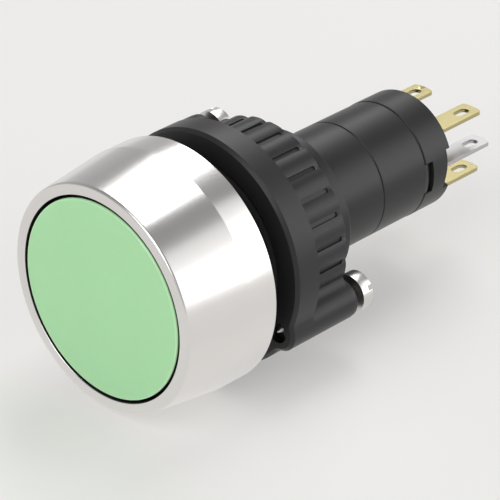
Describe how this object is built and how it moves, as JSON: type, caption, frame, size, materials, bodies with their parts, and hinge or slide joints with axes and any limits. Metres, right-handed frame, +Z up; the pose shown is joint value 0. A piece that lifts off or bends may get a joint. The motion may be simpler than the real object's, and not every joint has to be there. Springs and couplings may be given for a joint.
{
  "type": "illuminated panel pushbutton",
  "caption": "Round illuminated pushbutton for a panel, with a flat lens, metal bezel, rear clamping ring with screws, and a barrel with push-on terminals.",
  "frame": {"origin": "on the button's axis, in the plane of the bezel's rear face that meets the front of the panel", "axes": "+Y along the axis to the rear, where the terminals point; the lens faces -Y; +Z up"},
  "size_m": [0.029, 0.0576, 0.029],
  "materials": {
    "bezel_aluminium": "turned and anodised",
    "housing_plastic": "moulded, fine satin",
    "ring_plastic": "moulded, fine satin",
    "barrel_plastic": "moulded, fine satin",
    "seal_rubber": "moulded",
    "lens_plastic": "translucent green",
    "diffuser_plastic": "milky",
    "holder_plastic": "moulded white",
    "plunger_plastic": "moulded natural",
    "lamp_resin": "clear resin",
    "screw_steel": "nickel plated",
    "spring_steel": "drawn wire",
    "gold_plate": "gold plated",
    "tin_plate": "tin plated"
  },
  "bodies": {
    "housing": {"bezel": "bezel_aluminium", "front_housing": "housing_plastic", "panel_gasket": "seal_rubber", "stem_seal": "seal_rubber", "clamping_ring": "ring_plastic", "clamp_screw_lower": "screw_steel", "clamp_screw_upper": "screw_steel", "switch_coupling": "housing_plastic", "switch_front_body": "barrel_plastic", "switch_body": "barrel_plastic", "terminal_base": "barrel_plastic", "nc_terminal_left": "gold_plate", "nc_terminal_right": "gold_plate", "no_terminal_left": "gold_plate", "no_terminal_right": "gold_plate", "lamp_terminal_left": "tin_plate", "lamp_terminal_right": "tin_plate", "lamp_socket": "plunger_plastic", "lamp": "lamp_resin", "return_spring": "spring_steel"},
    "button": {"lens_cap": "lens_plastic", "diffuser": "diffuser_plastic", "lens_holder": "holder_plastic", "plunger": "plunger_plastic", "contact_carrier": "plunger_plastic", "nc_bridge": "gold_plate", "no_bridge": "gold_plate", "nc_contact_spring": "spring_steel", "no_contact_spring": "spring_steel"}
  },
  "joints": [
    {"name": "press", "type": "slide", "parent": "housing", "child": "button", "axis": [0, 1, 0], "range_m": [0, 0.0025], "stiffness_N_per_m": 600, "springref_m": -0.003, "deforming": ["return_spring"]}
  ]
}
